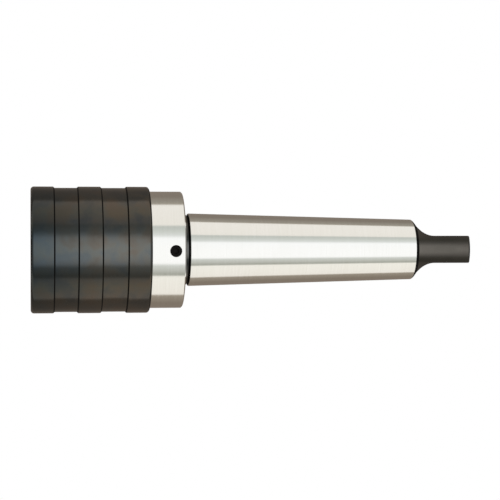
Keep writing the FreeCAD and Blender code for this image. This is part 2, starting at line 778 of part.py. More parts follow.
def release_sleeve():
    raised = "radii.raised"
    recessed = "radii.recessed"
    corners = [("radii.mouth + dims.mouth_chamfer", "at.nose"), (raised, "at.nose")]
    # each step between two bands is a chamfer of 45 degrees, centred on their border
    for which in ("first_recess", "second_recess"):
        recess = "at." + which
        recess_end = "%s + dims.%s_length" % (recess, which)
        corners += [
            (raised, recess + " - dims.band_height / 2"),
            (recessed, recess + " + dims.band_height / 2"),
            (recessed, recess_end + " - dims.band_height / 2"),
            (raised, recess_end + " + dims.band_height / 2"),
        ]
    corners += [
        (raised, "at.sleeve_rear"),
        ("radii.skirt", "at.sleeve_rear"),
        ("radii.skirt", "at.sleeve_shoulder"),
        ("radii.sleeve_guide", "at.sleeve_shoulder"),
        ("radii.sleeve_guide", "at.cone_rear"),
        ("radii.ball_room", "at.cone_front"),
        ("radii.ball_room", "at.lip_rear"),
        ("radii.sleeve_guide", "at.lip_rear"),
        ("radii.sleeve_guide", "at.lip_front"),
        ("radii.mouth", "at.lip_front"),
        ("radii.mouth", "at.nose + dims.mouth_chamfer"),
    ]
    body = turned_body("release_sleeve", corners)
    round_circles(body, "nose_edge", "dims.nose_rounding", [(raised, "at.nose")])
    round_circles(body, "rear_edge", "dims.rear_rounding", [(raised, "at.sleeve_rear")])
    return body


def coil_spring(label, front, rear):
    # a coil with ground ends: the wire's helix, cut flat between its two seats
    coil = new_body(label + "_coil")
    sketch = new_sketch(coil, label + "_wire", "XZ_Plane")
    draw_circle(sketch, "radii." + label, front, "dims.%s_wire / 2" % label)
    helix = coil.newObject("PartDesign::AdditiveHelix", label + "_helix")
    helix.Profile = sketch
    helix.ReferenceAxis = (sketch, ["V_Axis"])
    helix.Mode = "height-turns-angle"
    helix.setExpression("Height", "%s - (%s)" % (rear, front))
    helix.setExpression("Turns", "dims.%s_turns" % label)
    between_seats = document.addObject("Part::Cylinder", label + "_seats")
    between_seats.setExpression("Radius", "radii.%s + dims.%s_wire" % (label, label))
    between_seats.setExpression("Height", "%s - (%s)" % (rear, front))
    between_seats.setExpression("Placement.Base.z", front)
    spring = document.addObject("Part::Common", label)
    spring.Base = coil
    spring.Tool = between_seats
    spring.Label = label
    return spring


def locking_ball(number):
    # each ball is a node of its own, the first towards +Y
    body = new_body("locking_ball_%d" % number)
    place_ball(body, "radii.locking_ball_centre", "at.locking_balls", "radii.locking_ball")
    body.Placement.Rotation = FreeCAD.Rotation(FreeCAD.Vector(0, 0, 1), 90)
    turn = "90 + %d * 360 / dims.locking_ball_count" % (number - 1)
    body.setExpression("Placement.Rotation.Angle", turn)
    return body


nodes = [
    taper_shank(),
    hub(),
    hub_set_screws(),
    set_screw_pads(),
    ball_circlip(),
    stop_bush(),
    spindle(),
    drive_balls(),
    front_snap_ring(),
    draw_bolt(),
    plain_washer("bolt_washer", "radii.bolt_hole", "radii.bolt_head",
                 "at.bolt_head_rear", "dims.bolt_washer_thickness"),
    spring_nut(),
    nut_lock_pin(),
    plain_washer("compression_spring_washer", "radii.spring_washer_hole",
                 "radii.compression_washer", "at.spring_pocket", "dims.spring_washer_thickness"),
    plain_washer("tension_spring_washer", "radii.spring_washer_hole", "radii.nut",
                 "at.tension_spring_rear", "dims.spring_washer_thickness"),
    coil_spring("compression_spring", "at.compression_spring_front", "at.bush_front"),
    coil_spring("tension_spring", "at.bush_rear", "at.tension_spring_rear"),
    coil_spring("sleeve_spring", "at.sleeve_shoulder", "at.spindle_flange_front"),
    release_sleeve(),
]
nodes += [locking_ball(number + 1) for number in range(sizes["locking_ball_count"])]
document.recompute()

for item in document.Objects:
    if "Invalid" in item.State or "Error" in item.State:
        raise RuntimeError("%s failed: %s" % (item.Label, item.State))
    if item.TypeId in ("PartDesign::Pocket", "PartDesign::Groove"):
        if not item.Shape.Volume < item.BaseFeature.Shape.Volume - 1e-3:
            raise RuntimeError("%s cuts nothing" % item.Label)
for node in nodes:
    if node.Shape.isNull() or not node.Shape.isValid() or not node.Shape.Solids:
        raise RuntimeError("%s has no valid shape" % node.Label)

os.makedirs("parts", exist_ok=True)
for node in nodes:
    node.Shape.exportStep("parts/%s.step" % node.Label)
    print("%-28s %d solid(s) %10.1f mm3" % (node.Label, len(node.Shape.Solids), node.Shape.Volume))
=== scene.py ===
import bmesh
import bpy
import json
import math
from mathutils import Matrix, Vector


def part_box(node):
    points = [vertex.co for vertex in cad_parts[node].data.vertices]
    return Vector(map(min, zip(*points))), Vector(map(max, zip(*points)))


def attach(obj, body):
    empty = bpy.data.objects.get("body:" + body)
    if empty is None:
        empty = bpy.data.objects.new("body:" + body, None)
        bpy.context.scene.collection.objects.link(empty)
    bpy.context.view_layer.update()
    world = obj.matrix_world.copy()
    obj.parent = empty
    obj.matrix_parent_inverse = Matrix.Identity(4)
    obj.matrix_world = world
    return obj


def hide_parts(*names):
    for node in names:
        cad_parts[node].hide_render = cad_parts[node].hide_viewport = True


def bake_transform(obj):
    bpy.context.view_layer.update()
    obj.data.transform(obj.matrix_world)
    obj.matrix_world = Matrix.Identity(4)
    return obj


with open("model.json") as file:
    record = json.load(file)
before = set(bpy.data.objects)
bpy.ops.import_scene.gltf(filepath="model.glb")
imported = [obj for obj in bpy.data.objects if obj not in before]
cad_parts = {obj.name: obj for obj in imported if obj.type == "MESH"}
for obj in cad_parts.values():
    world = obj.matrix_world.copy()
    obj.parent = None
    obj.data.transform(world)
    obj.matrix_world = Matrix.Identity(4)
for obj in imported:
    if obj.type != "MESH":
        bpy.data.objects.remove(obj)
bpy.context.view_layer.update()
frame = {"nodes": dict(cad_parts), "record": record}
nodes = frame["nodes"]
mm = 0.001
print("frame loaded:", len(nodes), "nodes")

# the chuck stands on its nose: z runs up its axis to the tang, the origin is at the gauge plane
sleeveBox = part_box("release_sleeve")
nose = sleeveBox[0].z


# camera: the photograph is taken from the chuck's side, a little towards its nose
cameraSet = {
    "focalPixels": 1602.0,     # focal length in pixels of the 500 px wide picture
    "picture": 500,
    "sensor": 36,              # mm
    "clipFrom": 0.01,          # m
    "clipTo": 20,
    "swing": 7.865,            # degrees between the picture's right and the chuck's axis
    "roll": 0.09,              # degrees that the tang's end is higher than the nose
    "noseLeft": 94.32,         # mm from the view axis to the nose, to the left
    "noseAway": 688.6,         # mm from the camera to the nose
    "axisUp": 0.16,            # mm that the chuck's axis lies above the view axis
}


def makeCamera(s):
    swing = math.radians(s["swing"])
    right = Vector((0, -math.sin(swing), math.cos(swing)))
    forward = Vector((0, math.cos(swing), math.sin(swing)))
    up = right.cross(forward)
    camera = bpy.data.objects.new("photoCamera", bpy.data.cameras.new("photoCamera"))
    bpy.context.scene.collection.objects.link(camera)
    camera.data.type = "PERSP"
    camera.data.sensor_width = s["sensor"]
    camera.data.lens = s["focalPixels"] / s["picture"] * s["sensor"]
    camera.data.clip_start = s["clipFrom"]
    camera.data.clip_end = s["clipTo"]
    roll = math.radians(s["roll"])
    rolledRight = right * math.cos(roll) - up * math.sin(roll)
    rolledUp = up * math.cos(roll) + right * math.sin(roll)
    turned = Matrix((rolledRight, rolledUp, -forward)).transposed().to_4x4()
    place = (
        Vector((0, 0, nose))
        + right * s["noseLeft"] * mm
        - forward * s["noseAway"] * mm
        - up * s["axisUp"] * mm
    )
    camera.matrix_world = Matrix.Translation(place) @ turned
    bpy.context.scene.camera = camera


makeCamera(cameraSet)
print("camera set")


# colours are written as sRGB hex and turned to linear here
def linear(hexColour):
    parts = [int(hexColour[i:i + 2], 16) / 255 for i in (1, 3, 5)]
    return tuple(c / 12.92 if c <= 0.04045 else ((c + 0.055) / 1.055) ** 2.4 for c in parts) + (1,)


white = (1, 1, 1, 1)


def addNode(tree, kind, settings=None, inputs=None, links=None):
    # one node with its properties, its constant inputs and what feeds its other inputs;
    # inputs that share a name are given by their number
    node = tree.nodes.new(kind)
    for name, value in (settings or {}).items():
        setattr(node, name, value)
    for name, value in (inputs or {}).items():
        node.inputs[name].default_value = value
    for name, source in (links or {}).items():
        tree.links.new(source, node.inputs[name])
    return node


def newMaterial(name):
    material = bpy.data.materials.new(name)
    material.use_nodes = True
    tree = material.node_tree
    tree.nodes.clear()
    return material, tree


def showSurface(tree, shade):
    addNode(tree, "ShaderNodeOutputMaterial", links={"Surface": shade})


def placeOn(tree):
    # place on the chuck in metres: every piece has its origin at the gauge plane
    return addNode(tree, "ShaderNodeTexCoord").outputs["Object"]


def rampOf(tree, source, stops):
    # colour ramp from (place, linear colour) pairs
    node = addNode(tree, "ShaderNodeValToRGB", links={"Fac": source})
    ramp = node.color_ramp
    while len(ramp.elements) < len(stops):
        ramp.elements.new(0.5)
    for element, (place, colour) in zip(ramp.elements, stops):
        element.position = place
        element.color = colour
    return node.outputs["Color"]


# noise: how fine it goes, and the two values between which nearly all of it lies
noiseSet = {
    "detail": 3,
    "lineRoughness": 0.6,
    "spotRoughness": 0.55,
    "low": 0.3,
    "high": 0.7,
}


def turnedLines(tree, spacing, drift):
    # noise stretched round the chuck's axis: tool or wheel marks lie in rings, one per spacing in mm
    scale = 1 / (spacing * mm)
    stretch = addNode(tree, "ShaderNodeMapping", {"vector_type": "POINT"},
                      {"Scale": (scale * drift, scale * drift, scale)}, {"Vector": placeOn(tree)})
    lines = addNode(tree, "ShaderNodeTexNoise", {"noise_dimensions": "3D"},
                    {"Scale": 1, "Detail": noiseSet["detail"], "Roughness": noiseSet["lineRoughness"]},
                    {"Vector": stretch.outputs["Vector"]})
    return lines.outputs["Fac"]


def spots(tree, size):
    # even noise with patches of about that size in mm
    patches = addNode(tree, "ShaderNodeTexNoise", {"noise_dimensions": "3D"},
                      {"Scale": 1 / (size * mm), "Detail": noiseSet["detail"],
                       "Roughness": noiseSet["spotRoughness"]},
                      {"Vector": placeOn(tree)})
    return patches.outputs["Fac"]


def roughnessBy(tree, source, smoothest, roughest):
    rough = addNode(tree, "ShaderNodeMapRange", None,
                    {"From Min": noiseSet["low"], "From Max": noiseSet["high"],
                     "To Min": smoothest, "To Max": roughest}, {"Value": source})
    return rough.outputs["Result"]


def ridges(tree, marks, height, strength):
    # bump from tool or wheel marks of that height in mm
    bump = addNode(tree, "ShaderNodeBump", None, {"Strength": strength, "Distance": height * mm},
                   {"Height": marks})
    return bump.outputs["Normal"]


# ground steel: hardened steel, cylindrically ground, so it mirrors its surroundings in bands
# along the axis, a little blurred by fine rings of wheel marks
groundSteelLook = {
    "bright": "#f6f6f4",
    "dull": "#eeeeea",
    "roughnessFrom": 0.07,
    "roughnessTo": 0.13,
    "markSpacing": 0.35,       # mm; real wheel marks are about 0.03, drawn coarser so that they show
    "markDrift": 0.02,         # how far the rings wander, against their spacing
    "markHeight": 0.0006,      # mm
    "markStrength": 0.5,
    "stainSize": 14.0,         # mm, faint film of oil
    "stainShare": 0.35,        # film against marks
}


def groundSteel(name, look):
    material, tree = newMaterial(name)
    marks = turnedLines(tree, look["markSpacing"], look["markDrift"])
    film = spots(tree, look["stainSize"])
    mixed = addNode(tree, "ShaderNodeMix", {"data_type": "FLOAT"}, {"Factor": look["stainShare"]},
                    {"A": marks, "B": film}).outputs["Result"]
    colour = rampOf(tree, mixed, [(noiseSet["low"], linear(look["dull"])),
                                  (noiseSet["high"], linear(look["bright"]))])
    rough = roughnessBy(tree, mixed, look["roughnessFrom"], look["roughnessTo"])
    bump = ridges(tree, marks, look["markHeight"], look["markStrength"])
    steel = addNode(tree, "ShaderNodeBsdfPrincipled", None, {"Metallic": 1.0},
                    {"Base Color": colour, "Roughness": rough, "Normal": bump})
    showSurface(tree, steel.outputs["BSDF"])
    return material


# black oxide: a thin magnetite coat on fine-turned steel, oiled, so it is nearly black with a
# satin, glassy gloss; a painted sheen colours that gloss by the angle it is seen at, neutral straight
# on, darker beside that and brown towards the rims, painted reflection bands with some of the coat's
# film colour; and darker and bluish at the nose
blackOxideLook = {
    "base": "#0b0c0d",
    # film: the colour painted on the gloss by viewing angle, painted reflection bands with some film
    # colour
    "film": [                  # (how far the surface turns away, colour of the gloss)
        (0.0, "#fcfff8"), (0.012, "#eeeee7"), (0.04, "#bcbcb8"), (0.107, "#aaa8a4"),
        (0.2, "#c1bbac"), (0.34, "#c8bcae"), (0.564, "#e7e2dd"),
    ],
    "patch": 9.0,              # mm
    "patchShare": 0.06,        # how far the patches shift the film
    # bluish, neutral and brownish patches
    "patchColours": [(0.36, "#dbe3ec"), (0.5, "#f3f3f1"), (0.64, "#fdf1e7")],
    "noseTint": "#bbccd8",
    "nosePatches": 0.3,        # how far the patches shift the nose's tint
    "noseFade": 30.0,          # mm
    "ior": 2.4,                # magnetite's
    "roughnessFrom": 0.13,
    "roughnessTo": 0.19,
    "markSpacing": 0.5,        # mm; real feed marks are about 0.1, drawn coarser so that they show
    "markDrift": 0.02,
    "markHeight": 0.0010,      # mm
    "markStrength": 0.4,
}


def blackOxide(name, look):
    material, tree = newMaterial(name)
    marks = turnedLines(tree, look["markSpacing"], look["markDrift"])
    patches = spots(tree, look["patch"])
    # painted sheen: the gloss is coloured by how far the surface turns from the view, in bands that
    # stand in for reflections
    rim = addNode(tree, "ShaderNodeLayerWeight")
    film = addNode(tree, "ShaderNodeMath", {"operation": "MULTIPLY_ADD"}, {1: look["patchShare"]},
                   {0: patches, 2: rim.outputs["Facing"]})
    middle = look["patchShare"] / 2
    paintedSheen = rampOf(tree, film.outputs["Value"],
                   [(turned + middle, linear(colour)) for turned, colour in look["film"]])
    # the nose's tint fades out along the axis, unevenly, as the patches have it
    height = addNode(tree, "ShaderNodeSeparateXYZ", links={"Vector": placeOn(tree)})
    shift = look["nosePatches"] / 2
    towardsNose = addNode(tree, "ShaderNodeMapRange", {"clamp": False},
                          {"From Min": nose, "From Max": nose + look["noseFade"] * mm,
                           "To Min": 1 - shift, "To Max": -shift}, {"Value": height.outputs["Z"]})
    share = addNode(tree, "ShaderNodeMath", {"operation": "MULTIPLY_ADD", "use_clamp": True},
                    {1: look["nosePatches"]}, {0: patches, 2: towardsNose.outputs["Result"]})
    patchColour = rampOf(tree, patches,
                         [(level, linear(colour)) for level, colour in look["patchColours"]])
    patched = addNode(tree, "ShaderNodeMixRGB", {"blend_type": "MULTIPLY"}, {"Fac": 1.0},
                      {"Color1": paintedSheen, "Color2": patchColour})
    tint = addNode(tree, "ShaderNodeMixRGB", {"blend_type": "MULTIPLY"},
                   {"Color2": linear(look["noseTint"])},
                   {"Fac": share.outputs["Value"], "Color1": patched.outputs["Color"]})
    rough = roughnessBy(tree, marks, look["roughnessFrom"], look["roughnessTo"])
    bump = ridges(tree, marks, look["markHeight"], look["markStrength"])
    coat = addNode(tree, "ShaderNodeBsdfPrincipled", None,
                   {"Metallic": 0.0, "IOR": look["ior"], "Base Color": linear(look["base"])},
                   {"Specular Tint": tint.outputs["Color"], "Roughness": rough, "Normal": bump})
    showSurface(tree, coat.outputs["BSDF"])
    return material


# inner pieces: what every plain metal shares
plainLook = {
    "patchLow": 0.35,          # the patches' colours change between these two
    "patchHigh": 0.65,
    "roughnessSpread": 0.2,
    "markDrift": 0.03,
    "markStrength": 0.5,
}


def plainMetal(name, darker, lighter, roughness, patch, markSpacing, markHeight):
    # turned, drawn or cut metal: colour patches and rings of tool marks, their sizes in mm
    material, tree = newMaterial(name)
    marks = turnedLines(tree, markSpacing, plainLook["markDrift"])
    colour = rampOf(tree, spots(tree, patch),
                    [(plainLook["patchLow"], linear(darker)), (plainLook["patchHigh"], linear(lighter))])
    spread = plainLook["roughnessSpread"]
    rough = roughnessBy(tree, marks, roughness * (1 - spread), roughness * (1 + spread))
    bump = ridges(tree, marks, markHeight, plainLook["markStrength"])
    metal = addNode(tree, "ShaderNodeBsdfPrincipled", None, {"Metallic": 1.0},
                    {"Base Color": colour, "Roughness": rough, "Normal": bump})
    showSurface(tree, metal.outputs["BSDF"])
    return material


groundTaper = groundSteel("groundTaperSteel", groundSteelLook)
groundHub = groundSteel("groundHubSteel", dict(groundSteelLook, markSpacing=0.45, roughnessTo=0.15))
sleeveOxide = blackOxide("blackOxideSatin", blackOxideLook)
# the tang's coat lies on milled steel and is browner and duller, and its painted sheen is a highlight in
# the middle that falls off towards the rims
tangOxide = blackOxide("blackOxideTang", dict(
    blackOxideLook, patchShare=0.02, roughnessFrom=0.2, roughnessTo=0.26,
    patchColours=[(0.36, "#ece8e2"), (0.64, "#fffaf4")],
    film=[(0.0, "#f4eee6"), (0.037, "#e2dfd8"), (0.047, "#c8c4bd"), (0.06, "#b1ada7"),
          (0.08, "#a09b93"), (0.13, "#958f89")]))
# the neck's coat has the sleeve's painted sheen, with the reflection bands beside its bright middle
# painted a little darker
neckOxide = blackOxide("blackOxideNeck", dict(
    blackOxideLook,
    film=[(0.0, "#ffffff"), (0.012, "#f2f2ec"), (0.04, "#a9aaa6"), (0.107, "#999893"),
          (0.2, "#b0ab9f"), (0.34, "#ada396"), (0.564, "#e0dbd6")]))
# the same coat, thick and dull where no wheel or cloth reaches, made near black as painted shade in
# grooves and steps
dullOxideAndShade = blackOxide("blackOxideGroove", dict(
    blackOxideLook, roughnessFrom=0.5, roughnessTo=0.6, ior=1.25, base="#060606"))
# screws: high-tensile steel, blackened and dull with grease
screwBlack = plainMetal("blackenedScrewSteel", "#151414", "#1f1d1c", roughness=0.38, patch=3.0,
                        markSpacing=0.3, markHeight=0.001)
# hardened and ground quill steel, darker than the shank
quillSteel = plainMetal("hardenedQuillSteel", "#a9a9a6", "#b9b8b4", roughness=0.2, patch=12.0,
                        markSpacing=0.4, markHeight=0.001)
# free-cutting steel with plain turning marks
turnedSteel = plainMetal("turnedSteel", "#a3a29e", "#b5b4b0", roughness=0.3, patch=6.0,
                         markSpacing=0.25, markHeight=0.002)
# drawn spring wire, blued by its heat treatment
springSteel = plainMetal("oiledSpringWire", "#595b60", "#6b6c70", roughness=0.28, patch=4.0,
                         markSpacing=0.4, markHeight=0.001)
# bearing balls: lapped chrome steel, almost a mirror
bearingSteel = plainMetal("lappedBearingSteel", "#dededf", "#e8e8e8", roughness=0.05, patch=3.0,
                          markSpacing=0.5, markHeight=0.0001)
# sawn brass rod, dull yellow
brass = plainMetal("sawnBrass", "#b08a4a", "#c29c58", roughness=0.32, patch=2.0,
                   markSpacing=0.2, markHeight=0.002)
slotMaterials = {
    "ground_steel": groundTaper, "ground_hub_steel": groundHub, "black_oxide": sleeveOxide,
    "black_screw": screwBlack, "hardened_steel": quillSteel, "turned_steel": turnedSteel,
    "spring_steel": springSteel, "bearing_steel": bearingSteel, "brass_pad": brass,
}
print("materials made")


# corners nearer to each other than this are joined, in metres
joinReach = {"turned": 1e-6, "rounded": 1e-7, "copied": 2e-6}
sharpAngle = 24                # degrees; flatter edges are shaded smooth


def markEdges(mesh):
    # smooth shading with sharp edges
    for face in mesh.faces:
        face.smooth = True
    for edge in mesh.edges:
        edge.smooth = not edge.is_manifold or edge.calc_face_angle(0) < math.radians(sharpAngle)


def addObject(mesh, name, material):
    # an object at the origin from a bmesh, which is used up
    data = bpy.data.meshes.new(name)
    mesh.to_mesh(data)
    mesh.free()
    data.materials.append(material)
    piece = bpy.data.objects.new(name, data)
    bpy.context.scene.collection.objects.link(piece)
    return piece


def keepFacesStraight(piece):
    # large faces rule the shading, with full weight, so that a rounded edge doesn't bend it
    straight = piece.modifiers.new("straightFaces", "WEIGHTED_NORMAL")
    straight.mode = "FACE_AREA"
    straight.weight = 100
    straight.keep_sharp = True


def turn(profile, steps):
    # closed half section in mm, (radius, z), turned about the chuck's axis
    mesh = bmesh.new()
    corners = [mesh.verts.new((radius * mm, 0, z * mm)) for radius, z in profile]
    edges = [mesh.edges.new(pair) for pair in zip(corners, corners[1:] + corners[:1])]
    bmesh.ops.spin(mesh, geom=corners + edges, cent=(0, 0, 0), axis=(0, 0, 1),
                   angle=2 * math.pi, steps=steps, use_merge=True, use_duplicate=False)
    bmesh.ops.remove_doubles(mesh, verts=mesh.verts, dist=joinReach["turned"])
    bmesh.ops.recalc_face_normals(mesh, faces=mesh.faces)
    return mesh


ringReach = 0.02               # mm; corners this near to a circle lie on it


def isRing(edge, radius, z):
    # is the edge part of the circle of that radius and height, in mm
    for corner in edge.verts:
        if abs(corner.co.z - z * mm) > ringReach * mm:
            return False
        if abs(math.hypot(corner.co.x, corner.co.y) - radius * mm) > ringReach * mm:
            return False
    return True


def roundRings(mesh, rings, width, segments):
    # rounds the circular edges at those (radius, z) places
    edges = [e for e in mesh.edges if any(isRing(e, radius, z) for radius, z in rings)]
    bmesh.ops.bevel(mesh, geom=edges, offset=width * mm, offset_type="OFFSET", affect="EDGES",
                    segments=segments, profile=0.5, material=-1, clamp_overlap=True)


# release sleeve: three raised and two turned-down bands, rounded at both ends; sizes in mm,
# and its inner places from the nose
sleeveSet = {
    "frontBand": 9.9,
    "firstRecess": 10.1,
    "raisedBand": 10.0,
    "secondRecess": 10.7,
    "raisedRadius": sleeveBox[1].x / mm,
    "bandHeight": 0.55,
    "noseRounding": 1.4,
    "rearRounding": 1.3,
    "endSegments": 6,
    "edgeRounding": 0.12,      # the turned steps are only broken, not rounded
    "edgeSegments": 2,
    "stepSlope": 0.3,          # faces steeper than this belong to the steps
    # faces of the rear rounding steeper than the next value, beside the hub, get the near-black coat as
    # painted shade
    "rearSlope": 0.6,          # and of the rear rounding, beside the hub, these stay dull too
    "endMargin": 1.0,          # no step lies so near to a rounded end
    "surfaceReach": 0.05,      # faces so little under the recesses still belong to the outside
    "wallInside": 1.75,        # raised surface to the bore over the hub
    "mouthRadius": 22.2,
    "lipRadius": 20.7,
    "lipFrom": 3.8,
    "lipTo": 6.0,
    "ballRoomRadius": 22.9,
    "ballRoomTo": 10.878,
    "coneTo": 16.378,
    "shoulderAt": 17.678,
    "mouthChamfer": 0.5,
    "steps": 360,
}


def sleeveProfile(s, front, end):
    # the sleeve's half section, and the (radius, z) places of its band edges
    raised = s["raisedRadius"]
    recessed = raised - s["bandHeight"]
    half = s["bandHeight"] / 2
    profile = [(s["mouthRadius"] + s["mouthChamfer"], front), (raised, front)]
    rings = []
    border = front + s["frontBand"]
    for recess in ("firstRecess", "secondRecess"):
        stop = border + s[recess]
        step = [(raised, border - half), (recessed, border + half),
                (recessed, stop - half), (raised, stop + half)]
        profile += step
        rings += step
        border = stop + s["raisedBand"]
    inner = raised - s["wallInside"]
    profile += [
        (raised, end),
        (inner, end),
        (inner, front + s["shoulderAt"]),
        (s["lipRadius"], front + s["shoulderAt"]),
        (s["lipRadius"], front + s["coneTo"]),
        (s["ballRoomRadius"], front + s["ballRoomTo"]),
        (s["ballRoomRadius"], front + s["lipTo"]),
        (s["lipRadius"], front + s["lipTo"]),
        (s["lipRadius"], front + s["lipFrom"]),
        (s["mouthRadius"], front + s["lipFrom"]),
        (s["mouthRadius"], front + s["mouthChamfer"]),
    ]
    return profile, rings


def dullStepsAndShade(mesh, s, front, end):
    # the steps and the rear end keep the dull, near-black coat as painted shade; it is polished off the
    # bands
    lowest = s["raisedRadius"] - s["bandHeight"] - s["surfaceReach"]
    mesh.normal_update()
    for face in mesh.faces:
        middle = face.calc_center_median() / mm
        outside = math.hypot(middle.x, middle.y) > lowest
        fromEnds = min(middle.z - front, end - middle.z)
        if outside and fromEnds > s["rearRounding"] + s["endMargin"]:
            face.material_index = int(abs(face.normal.z) > s["stepSlope"])
        elif outside and end - middle.z < s["rearRounding"]:
            face.material_index = int(face.normal.z > s["rearSlope"])


def makeSleeve(s):
    front = nose / mm
    end = sleeveBox[1].z / mm
    profile, bandEdges = sleeveProfile(s, front, end)
    mesh = turn(profile, s["steps"])
    roundRings(mesh, [(s["raisedRadius"], front)], s["noseRounding"], s["endSegments"])
    roundRings(mesh, [(s["raisedRadius"], end)], s["rearRounding"], s["endSegments"])
    roundRings(mesh, bandEdges, s["edgeRounding"], s["edgeSegments"])
    dullStepsAndShade(mesh, s, front, end)
    bmesh.ops.remove_doubles(mesh, verts=mesh.verts, dist=joinReach["rounded"])
    bmesh.ops.recalc_face_normals(mesh, faces=mesh.faces)
    markEdges(mesh)
    piece = addObject(mesh, "releaseSleeve", sleeveOxide)
    # second material: the near-black coat, painted shade on the steps and beside the hub
    piece.data.materials.append(dullOxideAndShade)
    keepFacesStraight(piece)
    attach(piece, "release_sleeve")
    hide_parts("release_sleeve")


makeSleeve(sleeveSet)
print("sleeve made")


# every other node becomes a joined copy of its solid, shaded smooth
nodeSlots = {part["node"]: part["material_slot"] for part in frame["record"]["subparts"]}
bodyOf = {}
for body, members in frame["record"]["behaviour"]["bodies"].items():
    for member in members:
        bodyOf[member] = body

# the bodies that each spring bears on: (at its front end, at its rear end); the springs themselves stay
# loose, attached to no body
springSeats = {
    "compression_spring": ("spindle", "shank"),
    "tension_spring": ("shank", "spindle"),
    "sleeve_spring": ("release_sleeve", "spindle"),
}


def smoothCopy(nodeName, pieceName):
    mesh = bmesh.new()
    mesh.from_mesh(nodes[nodeName].data)
    bmesh.ops.remove_doubles(mesh, verts=mesh.verts, dist=joinReach["copied"])
    markEdges(mesh)
    piece = addObject(mesh, pieceName, slotMaterials[nodeSlots[nodeName]])
    if nodeName in springSeats:
        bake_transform(piece)
    else:
        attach(piece, bodyOf[nodeName])
    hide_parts(nodeName)
    return piece


copies = {}
for nodeName in sorted(nodes):
    if nodeName != "release_sleeve":
        first, *others = nodeName.split("_")
        pieceName = first + ("".join(word.capitalize() for word in others) or "Body")
        copies[nodeName] = smoothCopy(nodeName, pieceName)
print("copies made:", len(copies))


# the shank: bright taper and flange, blackened neck and tang, and in front of the taper a groove in
# dull, near-black coat as painted shade, which is narrower here than in the solid, as the photograph has
# it; the shoulder and the step to the tang get the same painted shade; places in mm
shankSet = {
    "hubRear": -8.8,
    "solidGrooveFrom": -7.45,
    "grooveFrom": -6.9,
    "shoulder": -6.1,
    "taperEnd": 93.15,
    "tangFrom": 94.45,
    "tangEnd": 117.5,
    "tangHalf": 5.95,
    "endBreak": 0.45,          # taken off where the flats meet the tang's end
    "reach": 0.01,             # corners and faces this near to a place belong to it
}
# where the shank's finishes come in its list of materials, after the ground steel
shankFinishes = {"tang": 1, "neck": 2, "groove": 3}


def narrowGroove(mesh, s):
    for corner in mesh.verts:
        if abs(corner.co.z / mm - s["solidGrooveFrom"]) < s["reach"]:
            corner.co.z = s["grooveFrom"] * mm


def breakTangEnd(mesh, s):
    for side in (-1, 1):
        sliced = bmesh.ops.bisect_plane(
            mesh, geom=mesh.verts[:] + mesh.edges[:] + mesh.faces[:], clear_outer=True,
            plane_co=(side * (s["tangHalf"] - s["endBreak"]) * mm, 0, s["tangEnd"] * mm),
            plane_no=(side, 0, 1))
        rim = [part for part in sliced["geom_cut"] if isinstance(part, bmesh.types.BMEdge)]
        bmesh.ops.edgeloop_fill(mesh, edges=rim)
    bmesh.ops.recalc_face_normals(mesh, faces=mesh.faces)


def finishShank(shank, s):
    for finish in (tangOxide, neckOxide, dullOxideAndShade):
        shank.data.materials.append(finish)
    mesh = bmesh.new()
    mesh.from_mesh(shank.data)
    narrowGroove(mesh, s)
    breakTangEnd(mesh, s)
    markEdges(mesh)
    for face in mesh.faces:
        z = face.calc_center_median().z / mm
        if z > s["tangFrom"]:
            face.material_index = shankFinishes["tang"]
        elif s["hubRear"] < z < s["grooveFrom"] - s["reach"]:
            face.material_index = shankFinishes["neck"]
        # the groove, the shoulder and the step from taper to tang get the near-black coat as painted
        # shade
        elif z > s["taperEnd"] or s["hubRear"] < z < s["shoulder"] + s["reach"]:
            face.material_index = shankFinishes["groove"]
    mesh.to_mesh(shank.data)
    mesh.free()


finishShank(copies["taper_shank"], shankSet)
print("shank finished")


# studio: a light tent round the chuck, seen in reflections only, soft lamps and a pale table
studio = {
    "tentRadius": 1.15,        # m
    "tentFrom": -1.7,          # m up the chuck's axis
    "tentTo": 2.1,
    "segments": 96,
    "lampDistance": 0.80,      # m
    "lampMiddle": 0.125,       # m up the chuck's axis
    "lampLength": 0.9,         # m
    "lampWidth": 0.8,
    "lampGlow": 0.35,
}
# what the tent's wall shows, by degrees round the chuck from the camera, with its glow: a white
# front, a grey gap on each side, cream sides and a brown-grey back
tentBands = [
    (-180, "#857a70", 1.0), (-128, "#857c72", 1.0), (-106, "#9a948a", 1.0), (-101, "#a49c90", 1.0),
    (-97, "#f6f2ec", 1.0), (-49, "#f4f0e9", 1.0), (-46, "#c4c8c3", 1.0), (-36, "#d2d6d1", 1.0),
    (-28, "#e2e5e3", 1.0), (-22, "#fdfeff", 1.08), (3, "#ffffff", 1.08), (26, "#ffffff", 1.08),
    (31, "#d6d9d4", 1.0), (42, "#c2c3bc", 1.0), (48, "#abaca3", 1.0), (50.5, "#abaca3", 1.0),
    (53.5, "#fbf8f0", 1.0), (97, "#f6f1e9", 1.0), (101, "#a49a8d", 1.0), (106, "#998f82", 1.0),
    (128, "#857a6e", 1.0), (180, "#85796f", 1.0),
]
# the tent's two ends: a darker middle, which the turned steps of the chuck mirror, and pale
# cloth round it
tentEnds = {
    "top": {"height": studio["tentTo"], "hole": 0.78, "dark": "#8d8b87"},
    "bottom": {"height": studio["tentFrom"], "hole": 0.52, "dark": "#484848"},
}
endCloth = {
    "fade": 0.2,               # m from the dark middle to the cloth
    "inner": "#b9b7b2",
    "outer": "#efece6",
    "outerAt": 1.0,            # m
}


def glowing(tree, colour, strength):
    shine = addNode(tree, "ShaderNodeEmission", None, {"Strength": strength}, {"Color": colour})
    showSurface(tree, shine.outputs["Emission"])


